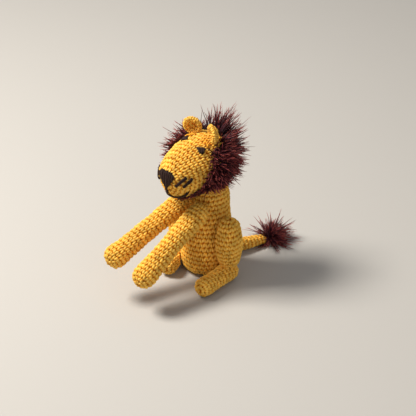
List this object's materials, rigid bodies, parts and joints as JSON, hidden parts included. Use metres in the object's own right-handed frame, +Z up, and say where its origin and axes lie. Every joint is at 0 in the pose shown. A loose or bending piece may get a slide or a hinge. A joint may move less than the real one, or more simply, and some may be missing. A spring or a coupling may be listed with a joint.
{
  "type": "crocheted lion soft toy",
  "caption": "Small crocheted lion soft toy that sits on its seat and feet, with arms that stay held out, a turning head, a fur-yarn mane and a tufted tail.",
  "frame": {"origin": "on the floor that the lion sits on, on the flat underside of the body, 2.2 mm behind its middle", "axes": "+Z up; the lion faces -Y; its left side is +X"},
  "size_m": [0.0674, 0.1499, 0.1206],
  "materials": {
    "yellow_cotton_yarn": "matt golden-yellow cotton yarn in rounds of single crochet",
    "sewing_yarn": "matt cotton yarn, whip stitched",
    "dark_embroidery_yarn": "matt dark brown yarn in satin stitch",
    "fur_yarn": "silky burgundy-brown eyelash yarn",
    "fibre_filling": "matt white polyester fibre"
  },
  "bodies": {
    "torso": {"body_cover": "yellow_cotton_yarn", "body_stuffing": "fibre_filling", "left_hip_seam": "sewing_yarn", "right_hip_seam": "sewing_yarn"},
    "neck": {"neck_seam": "sewing_yarn"},
    "head": {"head_cover": "yellow_cotton_yarn", "head_stuffing": "fibre_filling", "nose": "dark_embroidery_yarn", "nose_line": "dark_embroidery_yarn", "mouth_line": "dark_embroidery_yarn", "left_whisker_upper": "dark_embroidery_yarn", "left_whisker_lower": "dark_embroidery_yarn", "right_whisker_upper": "dark_embroidery_yarn", "right_whisker_lower": "dark_embroidery_yarn", "left_eye": "dark_embroidery_yarn", "right_eye": "dark_embroidery_yarn", "left_ear_seam": "sewing_yarn", "right_ear_seam": "sewing_yarn", "mane_band": "fur_yarn", "mane_pile": "fur_yarn"},
    "left_ear": {"left_ear": "yellow_cotton_yarn"},
    "right_ear": {"right_ear": "yellow_cotton_yarn"},
    "left_shoulder": {"left_shoulder_seam": "sewing_yarn"},
    "left_arm": {"left_arm_cover": "yellow_cotton_yarn", "left_arm_stuffing": "fibre_filling"},
    "right_shoulder": {"right_shoulder_seam": "sewing_yarn"},
    "right_arm": {"right_arm_cover": "yellow_cotton_yarn", "right_arm_stuffing": "fibre_filling"},
    "left_leg": {"left_leg_cover": "yellow_cotton_yarn", "left_leg_stuffing": "fibre_filling"},
    "right_leg": {"right_leg_cover": "yellow_cotton_yarn", "right_leg_stuffing": "fibre_filling"},
    "tail_root": {"tail_seam": "sewing_yarn"},
    "tail": {"tail_cover": "yellow_cotton_yarn", "tuft_knot": "fur_yarn", "tail_tuft": "fur_yarn"}
  },
  "joints": [
    {"name": "neck_turn", "type": "hinge", "parent": "torso", "child": "neck", "pos_m": [0, 0.0026, 0.066], "axis": [0, 0, 1], "range_deg": [-35, 35]},
    {"name": "neck_nod", "type": "hinge", "parent": "neck", "child": "head", "pos_m": [0, 0.0026, 0.066], "axis": [-1, 0, 0], "range_deg": [-2, 14]},
    {"name": "left_shoulder_spread", "type": "hinge", "parent": "torso", "child": "left_shoulder", "pos_m": [0.0096, -0.02, 0.0544], "axis": [0, 0, 1], "range_deg": [-3, 40]},
    {"name": "left_shoulder_swing", "type": "hinge", "parent": "left_shoulder", "child": "left_arm", "pos_m": [0.0096, -0.02, 0.0544], "axis": [-1, 0, 0], "range_deg": [-20, 20]},
    {"name": "left_hip_swing", "type": "hinge", "parent": "torso", "child": "left_leg", "pos_m": [0.0239, -0.0033, 0.032], "axis": [-1, 0, 0], "range_deg": [0, 30]},
    {"name": "right_shoulder_spread", "type": "hinge", "parent": "torso", "child": "right_shoulder", "pos_m": [-0.0096, -0.02, 0.0544], "axis": [0, 0, -1], "range_deg": [-3, 40]},
    {"name": "right_shoulder_swing", "type": "hinge", "parent": "right_shoulder", "child": "right_arm", "pos_m": [-0.0096, -0.02, 0.0544], "axis": [-1, 0, 0], "range_deg": [-20, 20]},
    {"name": "right_hip_swing", "type": "hinge", "parent": "torso", "child": "right_leg", "pos_m": [-0.0239, -0.0033, 0.032], "axis": [-1, 0, 0], "range_deg": [0, 30]},
    {"name": "tail_swing", "type": "hinge", "parent": "torso", "child": "tail_root", "pos_m": [0, 0.0229, 0.0057], "axis": [0, 0, 1], "range_deg": [-30, 30]},
    {"name": "tail_lift", "type": "hinge", "parent": "tail_root", "child": "tail", "pos_m": [0, 0.0229, 0.0057], "axis": [1, 0, 0], "range_deg": [0, 50]},
    {"name": "left_ear_flex", "type": "hinge", "parent": "head", "child": "left_ear", "pos_m": [0.01, -0.0046, 0.1056], "axis": [-1, 0, 0], "range_deg": [-9, 9], "stiffness_Nm_per_rad": 0.003},
    {"name": "right_ear_flex", "type": "hinge", "parent": "head", "child": "right_ear", "pos_m": [-0.01, -0.0046, 0.1056], "axis": [-1, 0, 0], "range_deg": [-9, 9], "stiffness_Nm_per_rad": 0.003}
  ]
}
